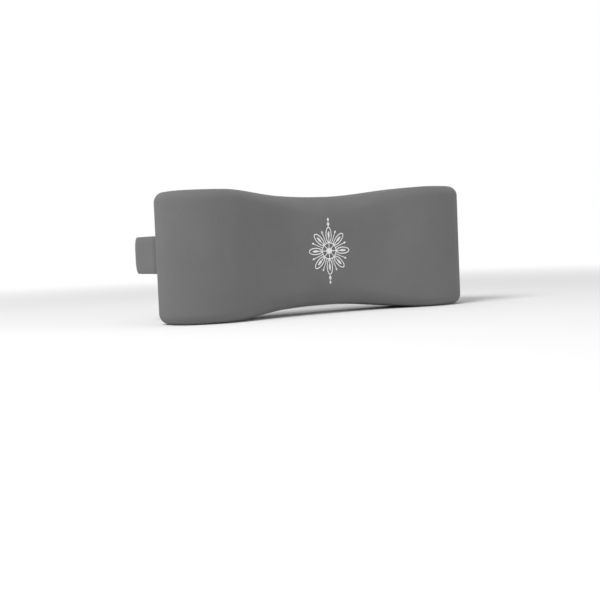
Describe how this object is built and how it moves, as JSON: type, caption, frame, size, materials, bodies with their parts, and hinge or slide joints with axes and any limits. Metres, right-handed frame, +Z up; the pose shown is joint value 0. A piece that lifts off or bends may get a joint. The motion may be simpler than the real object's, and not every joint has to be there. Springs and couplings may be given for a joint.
{
  "type": "car neck pillow",
  "caption": "Waisted neck pillow for a car seat, with a zipped fabric cover over a foam core and a buckled strap that runs behind the headrest posts.",
  "frame": {"origin": "centre of the bounding box's underside: the floor under the middle of the pillow and its strap loop", "axes": "+X across the seat, towards the viewer's right; -Y the side the neck rests on; +Y towards the headrest and the strap; +Z up"},
  "size_m": [0.3, 0.1172, 0.11],
  "materials": {
    "cover_fabric": "matt stretch knit",
    "foam": "open cell foam",
    "webbing": "ribbed elastic webbing",
    "buckle_plastic": "fine moulded grain",
    "zip_tape": "woven tape",
    "zip_teeth": "moulded nylon",
    "zip_metal": "dark lacquered",
    "emblem_thread": "satin-stitched thread"
  },
  "bodies": {
    "pillow": {"cover_front": "cover_fabric", "cover_back_upper": "cover_fabric", "cover_back_lower": "cover_fabric", "foam_core": "foam", "zip_tape_upper": "zip_tape", "zip_tape_lower": "zip_tape", "zip_teeth_upper": "zip_teeth", "zip_teeth_lower": "zip_teeth", "zip_bottom_stop": "zip_metal", "zip_top_stop": "zip_metal", "webbing_left": "webbing", "webbing_right": "webbing", "buckle_socket": "buckle_plastic", "emblem": "emblem_thread", "strap_sleeve_left": "cover_fabric", "strap_sleeve_right": "cover_fabric"},
    "slider": {"zip_slider": "zip_metal"},
    "pull": {"zip_pull": "zip_metal"},
    "plug": {"buckle_plug": "buckle_plastic"},
    "adjuster": {"strap_adjuster": "buckle_plastic"}
  },
  "joints": [
    {"name": "zip_slide", "type": "slide", "parent": "pillow", "child": "slider", "axis": [1, 0, 0], "range_m": [0, 0.209]},
    {"name": "pull_hinge", "type": "hinge", "parent": "slider", "child": "pull", "pos_m": [-0.1047, 0.00085, 0.03], "axis": [0, 0, 1], "range_deg": [0, 175]},
    {"name": "buckle_release", "type": "slide", "parent": "pillow", "child": "plug", "axis": [1, 0, 0], "range_m": [0, 0.022], "deforming": ["webbing_right"]},
    {"name": "adjuster_slide", "type": "slide", "parent": "pillow", "child": "adjuster", "axis": [1, 0, 0], "range_m": [0, 0.03], "deforming": ["webbing_right"]}
  ]
}
